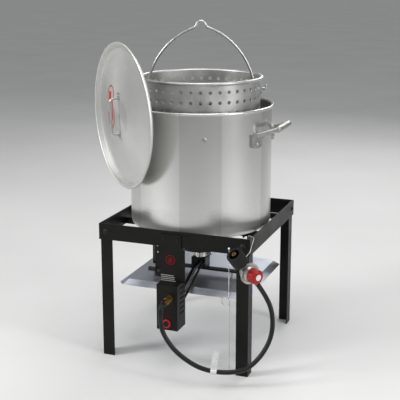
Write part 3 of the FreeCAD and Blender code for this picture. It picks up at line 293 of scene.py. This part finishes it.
def spun_lid(name):
    """Aluminium spun on the lid's own axis: rings of fine streaks and soft spokes of light."""
    m = Material(name).set(metallic=1.0, anisotropic=0.35)
    arm = m.vector("SUBTRACT", m.place, LID_MIDDLE)
    across, up = (m.vector("DOT_PRODUCT", arm, side) for side in (LID_ACROSS, LID_UP))
    radius = m.math("SQRT", m.math("ADD", m.math("MULTIPLY", across, across),
                                   m.math("MULTIPLY", up, up)))
    turn = m.math("ARCTAN2", across, up)
    join = m.node("ShaderNodeCombineXYZ")
    m.link(m.math("MULTIPLY", turn, 1.3), join.inputs[0])
    m.link(m.math("MULTIPLY", radius, 620.0), join.inputs[1])
    fine = m.noise(join.outputs[0], 1.0, 3.0, 0.6)
    cloud = m.noise(m.place, 10.0, 3.0)
    tone = m.math("ADD", m.math("MULTIPLY", fine, 0.7), m.math("MULTIPLY", cloud, 0.3))
    m.colour(m.ramp(tone, (0.3, (0.60, 0.60, 0.58)), (0.7, (0.70, 0.70, 0.68))))
    m.roughness(tone, 0.46, 0.54)
    m.bump(fine, 0.06, 0.0001)
    along = m.vector("NORMALIZE", m.vector("CROSS_PRODUCT", arm, LID_OUT))
    whole = m.node("ShaderNodeVectorTransform", vector_type="VECTOR", convert_from="OBJECT",
                   convert_to="WORLD")
    m.link(along, whole.inputs[0])
    m.link(whole.outputs[0], m.shader.inputs["Tangent"])
    return m


def printed_film(name):
    """The hose tag: white film with plain grey bars where print would be."""
    m = Material(name).set(roughness=0.5)
    split = m.node("ShaderNodeSeparateXYZ")
    m.link(m.place, split.inputs[0])
    line = m.math("SINE", m.math("MULTIPLY", split.outputs[2], 1450.0))
    broken = m.noise(m.stretched((900.0, 900.0, 120.0)), 1.0, 1.0)
    ink = m.math("MULTIPLY", m.ramp(line, (0.45, 0.0), (0.60, 1.0)),
                 m.ramp(broken, (0.42, 0.0), (0.50, 0.75)))
    m.colour(m.mix(ink, (0.72, 0.72, 0.70), (0.22, 0.22, 0.22)))
    m.bump(m.noise(m.place, 300.0, 2.0), 0.08, 0.0002)
    return m


PAINT_BLACK = (0.0045, 0.0045, 0.004)
MATERIALS = {
    "stand": painted("stand_paint", PAINT_BLACK),
    "box": painted("box_paint", PAINT_BLACK, low=0.34),
    "black_bolt": painted("bolt_paint", (0.011, 0.011, 0.011), grain=500.0),
    "shield": metal("shield_polish", (0.68, 0.71, 0.78), 0.34, 0.44, 240.0, 0.05, 0.05),
    "plated": metal("zinc_plate", (0.62, 0.62, 0.58), 0.25, 0.4),
    "iron": cast("cast_iron", (0.05, 0.048, 0.047), 0.6, 0.6, 0.8),
    "brass": metal("brass", (0.46, 0.30, 0.11), 0.22, 0.36, 300.0, 0.35),
    "rubber": plastic("hose_rubber", (0.006, 0.006, 0.0062), 0.26, 0.38, 600.0, 0.35),
    "paper": printed_film("label_film"),
    "red": plastic("red_gloss", (0.55, 0.012, 0.008), 0.18, 0.28),
    "black_plastic": plastic("black_plastic", (0.006, 0.006, 0.006), 0.34, 0.5, 700.0, 0.25),
    "red_plastic": plastic("knob_red", (0.33, 0.006, 0.008), 0.24, 0.36, 500.0, 0.35),
    "white_plastic": plastic("cap_white", (0.80, 0.80, 0.78), 0.3, 0.4),
    "zinc_cast": cast("die_cast", (0.55, 0.55, 0.53), 1.0, 0.28, 0.42, 0.15),
    "pot": turned_aluminium("pot_aluminium"),
    "cast_alu": cast("cast_aluminium", (0.47, 0.47, 0.455), 1.0, 0.36, 0.52, 0.4),
    "basket": grainy_aluminium("basket_aluminium"),
    "wire": metal("steel_wire", (0.62, 0.62, 0.61), 0.26, 0.4, 350.0),
    "lid": spun_lid("lid_aluminium"),
    "chrome": metal("bead_chrome", (0.72, 0.72, 0.71), 0.12, 0.25),
}

SLOT_OF = {s["node"]: s["material_slot"] for s in frame["record"]["subparts"]}
for name, thing in NODES.items():
    thing.data.materials.clear()
    thing.data.materials.append(MATERIALS[SLOT_OF[name]].made)
    for polygon in thing.data.polygons:
        polygon.use_smooth = True
    thing.data.set_sharp_from_angle(angle=math.radians(32))


# ---------------------------------------------------------------- mesh helpers
def link_piece(name, mesh, slot, body, material=None):
    piece = bpy.data.objects.new(name, mesh)
    bpy.context.scene.collection.objects.link(piece)
    mesh.materials.append((material or MATERIALS[slot]).made)
    for polygon in mesh.polygons:
        polygon.use_smooth = True
    mesh.set_sharp_from_angle(angle=math.radians(38))
    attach(piece, body)
    return piece


def bevelled(nodes, width, segments):
    """Rounds the hard edges of CAD nodes, so that they catch the light."""
    for name in nodes:
        modifier = NODES[name].modifiers.new("edge", "BEVEL")
        modifier.width = width
        modifier.segments = segments
        modifier.limit_method = "ANGLE"
        modifier.angle_limit = math.radians(40)
        modifier.harden_normals = False


# ---------------------------------------------------------------- hose
HOSE_ROUTE = [(7, -352, 209), (7, -354, 178), (22, -356, 142), (62, -360, 98),
              (139, -345, 50), (238, -315, 47), (286, -290, 82), (318, -257, 146),
              (311, -231, 217), (284, -229, 267), (271, -255, 303)]
HOSE_RADIUS = 7


def hose():
    curve = bpy.data.curves.new("gas_hose_line", "CURVE")
    curve.dimensions = "3D"
    curve.bevel_depth = HOSE_RADIUS * MM
    curve.bevel_resolution = 8
    curve.resolution_u = 16
    curve.use_fill_caps = True
    spline = curve.splines.new("NURBS")
    spline.points.add(len(HOSE_ROUTE) - 1)
    for point, spot in zip(spline.points, HOSE_ROUTE):
        point.co = (*(x * MM for x in spot), 1)
    spline.order_u = 3
    spline.use_endpoint_u = True
    piece = bpy.data.objects.new("gas_hose_rubber", curve)
    bpy.context.scene.collection.objects.link(piece)
    curve.materials.append(MATERIALS["rubber"].made)
    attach(piece, "stand")
    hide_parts("gas_hose")


hose()

# Edge radius in millimetres, bevel segments, and the nodes that have it.
EDGES = [
    (1.0, 2, ("front_rail", "rear_rail", "left_rail", "right_rail", "leg_front_left",
              "leg_front_right", "leg_rear_left", "leg_rear_right")),
    (0.8, 2, ("pot_supports", "burner_strap", "burner_cradle")),
    (0.5, 2, ("control_box_cover", "control_box_bracket")),
    (1.2, 3, ("pot_handle_left", "pot_handle_right")),
    (0.4, 2, ("leg_bolts", "hose_fitting", "hose_plug", "quick_connect_sleeve")),
]
for edge, segments, nodes in EDGES:
    bevelled(nodes, edge * MM, segments)


# ---------------------------------------------------------------- printed marks
def ink(name, tint):
    """Screen-printed ink: flat colour, a little worn."""
    m = Material(name).set(roughness=0.8, specular_ior_level=0.04)
    worn = m.noise(m.place, 500.0, 3.0, 0.7)
    m.colour(m.ramp(worn, (0.30, tuple(c * 0.6 for c in tint)), (0.55, tint)))
    m.bump(worn, 0.05, 0.0001)
    return m


BOX_RED = ink("box_red_ink", (0.20, 0.010, 0.007))
BOX_DARK_RED = ink("box_dark_red_ink", (0.075, 0.006, 0.005))
BOX_GREY = ink("box_grey_ink", (0.40, 0.40, 0.38))
LID_RED = ink("lid_red_ink", (0.52, 0.030, 0.020))


def stadium(half_long, half_wide, step=4):
    """A closed outline with round ends, long in its first direction, about (0, 0)."""
    points = []
    for end in (1, -1):
        for i in range(0, 181, step):
            a = math.radians(i - 90 if end > 0 else i + 90)
            points.append((end * (half_long - half_wide) + half_wide * math.cos(a),
                           half_wide * math.sin(a)))
    return points


def band(outer, inner):
    """The ring between two outlines that have the same number of points."""
    count = len(outer)
    return outer + inner, [(i, (i + 1) % count, count + (i + 1) % count, count + i)
                           for i in range(count)]


def bar(half_long, half_wide, rows=24):
    """A plain bar, split along its length so that it can follow a curved face."""
    points = [(half_long * (2 * i / rows - 1), side * half_wide)
              for i in range(rows + 1) for side in (-1, 1)]
    return points, [(2 * i, 2 * i + 1, 2 * i + 3, 2 * i + 2) for i in range(rows)]


def printed(name, shape, spot, body, slot, material):
    """A print: spot(u, v) gives where each outline point lies on the printed face."""
    points, faces = shape
    mesh = bpy.data.meshes.new(name)
    mesh.from_pydata([spot(u, v) for u, v in points], [], faces)
    mesh.update()
    return link_piece(name, mesh, slot, body, material)


# Millimetres: the control box's two front faces, and how far a print stands off its face.
BOX_PLATE, BOX_FRONT = -245.5, -278
BOX_LIFT, LID_LIFT = 0.15, 0.5
# The lid's outer face: a nearly flat middle disc, and the cone that falls away from it.
DISC_LEVEL, DISC_RADIUS = 7, 61
CONE_LEVEL, CONE_FALL = 6, 17 / 140


def on_box(face, x, z):
    """Millimetres right and up on a front face of the control box, measured from (x, z)."""
    return lambda u, v: ((x + u) * MM, (face - BOX_LIFT) * MM, (z + v) * MM)


def on_lid(up, across):
    """Millimetres up and across on the lid's cone, measured from its middle."""
    def spot(u, v):
        a, b = up + u, across + v
        radius = math.hypot(a, b)
        if radius <= DISC_RADIUS:
            level = DISC_LEVEL - radius / DISC_RADIUS
        else:
            level = CONE_LEVEL - (radius - DISC_RADIUS) * CONE_FALL
        return LID_MIDDLE + (LID_UP * a + LID_ACROSS * b + LID_OUT * (level + LID_LIFT)) * MM
    return spot


def prints():
    """A ring, a drop and bars stand where the object has printed marks and words."""
    circle = [(math.cos(math.radians(a)), math.sin(math.radians(a))) for a in range(0, 360, 5)]
    ring = band([(15 * x, 15 * y) for x, y in circle], [(12.8 * x, 12.8 * y) for x, y in circle])
    drop = [(6.5 * math.cos(math.radians(a)), 6.5 * math.sin(math.radians(a)) - 2)
            for a in range(150, 391, 10)] + [(0.5, 9.5)]
    printed("box_ring_print", ring, on_box(BOX_PLATE, -5, 341), "stand", "red", BOX_RED)
    printed("box_drop_print", (drop, [tuple(range(len(drop)))]), on_box(BOX_PLATE, -5, 341),
            "stand", "red", BOX_RED)
    for i, long in enumerate((20.5, 22.5, 22.0, 23.5)):
        printed(f"box_bar_print_{i + 1}", bar(long, 1.15, 1),
                on_box(BOX_PLATE, long - 36, 292 - 5.6 * i), "stand", "paper", BOX_GREY)
    printed("button_bar_print", bar(14, 2.6, 1), on_box(BOX_FRONT, -4, 176.5), "stand", "red",
            BOX_DARK_RED)
    printed("lid_ring_print", band(stadium(66, 31), stadium(62.5, 27.5)), on_lid(20, -70), "lid",
            "red", LID_RED)
    printed("lid_wide_bar_print", bar(46, 9.5), on_lid(20, -78), "lid", "red", LID_RED)
    printed("lid_thin_bar_print", bar(32, 4), on_lid(12, -54), "lid", "red", LID_RED)


prints()


# ---------------------------------------------------------------- studio
# About the direction that the camera looks along, level with the floor: the walls darken that way.
AWAY = (-0.352, 0.936, 0.0)
WALL_SHADES = (("From Min", -0.5), ("From Max", 0.6), ("To Min", 0.50), ("To Max", 0.24))


def studio():
    """A pale floor, walls that darken behind the object, and four soft panels of light."""
    floor = bpy.data.meshes.new("floor")
    work = bmesh.new()
    bmesh.ops.create_grid(work, x_segments=1, y_segments=1, size=40)
    work.to_mesh(floor)
    work.free()
    ground = bpy.data.objects.new("floor", floor)
    bpy.context.scene.collection.objects.link(ground)
    paint = Material("floor_pale").set(roughness=0.75)
    soft = paint.noise(paint.place, 1.5, 2.0)
    paint.colour(paint.ramp(soft, (0.3, (0.64, 0.64, 0.63)), (0.7, (0.68, 0.68, 0.67))))
    floor.materials.append(paint.made)

    world = bpy.data.worlds.new("studio")
    bpy.context.scene.world = world
    world.use_nodes = True
    tree = world.node_tree
    sky = tree.nodes["Background"]
    sky.inputs[1].default_value = 1.0
    where = tree.nodes.new("ShaderNodeTexCoord")
    behind = tree.nodes.new("ShaderNodeVectorMath")
    behind.operation = "DOT_PRODUCT"
    behind.inputs[1].default_value = AWAY
    tree.links.new(where.outputs["Generated"], behind.inputs[0])
    shade = tree.nodes.new("ShaderNodeMapRange")
    for key, value in WALL_SHADES:
        shade.inputs[key].default_value = value
    tree.links.new(behind.outputs["Value"], shade.inputs["Value"])
    tint = tree.nodes.new("ShaderNodeMix")
    tint.data_type = "RGBA"
    tint.inputs[6].default_value = (0, 0, 0, 1)
    tint.inputs[7].default_value = (0.97, 0.98, 1.0, 1)
    tree.links.new(shade.outputs[0], tint.inputs["Factor"])
    tree.links.new(tint.outputs[2], sky.inputs[0])

    def panel(name, spot, target, wide, tall, power):
        light = bpy.data.lights.new(name, "AREA")
        light.shape = "RECTANGLE"
        light.size, light.size_y = wide, tall
        light.energy = power
        lamp = bpy.data.objects.new(name, light)
        lamp.location = spot
        lamp.rotation_euler = (Vector(target) - Vector(spot)).to_track_quat("-Z", "Y").to_euler()
        bpy.context.scene.collection.objects.link(lamp)

    panel("key", (-2.2, -1.9, 2.2), (0, 0, 0.6), 0.9, 2.0, 66)
    panel("fill", (2.9, -0.9, 1.9), (0, 0, 0.6), 0.6, 2.2, 42)
    panel("back", (0.4, 3.2, 2.6), (0, 0, 0.7), 2.4, 1.4, 50)
    panel("top", (0.2, -0.4, 3.4), (0, 0, 0), 2.0, 2.0, 40)


studio()

CAMERA_SPOT = (0.9842, -2.6062, 1.1946)
CAMERA_TURN, CAMERA_PITCH, CAMERA_LENS, CAMERA_SHIFT = 20.751, 12.737, 80.835, -0.075


def camera():
    lens = bpy.data.cameras.new("camera")
    lens.sensor_width = 36
    lens.lens = CAMERA_LENS
    lens.shift_y = CAMERA_SHIFT
    view = bpy.data.objects.new("camera", lens)
    view.location = CAMERA_SPOT
    view.rotation_euler = (math.radians(90 - CAMERA_PITCH), 0, math.radians(CAMERA_TURN))
    bpy.context.scene.collection.objects.link(view)
    bpy.context.scene.camera = view


camera()
bpy.context.scene.view_settings.view_transform = "Standard"

bpy.context.view_layer.update()
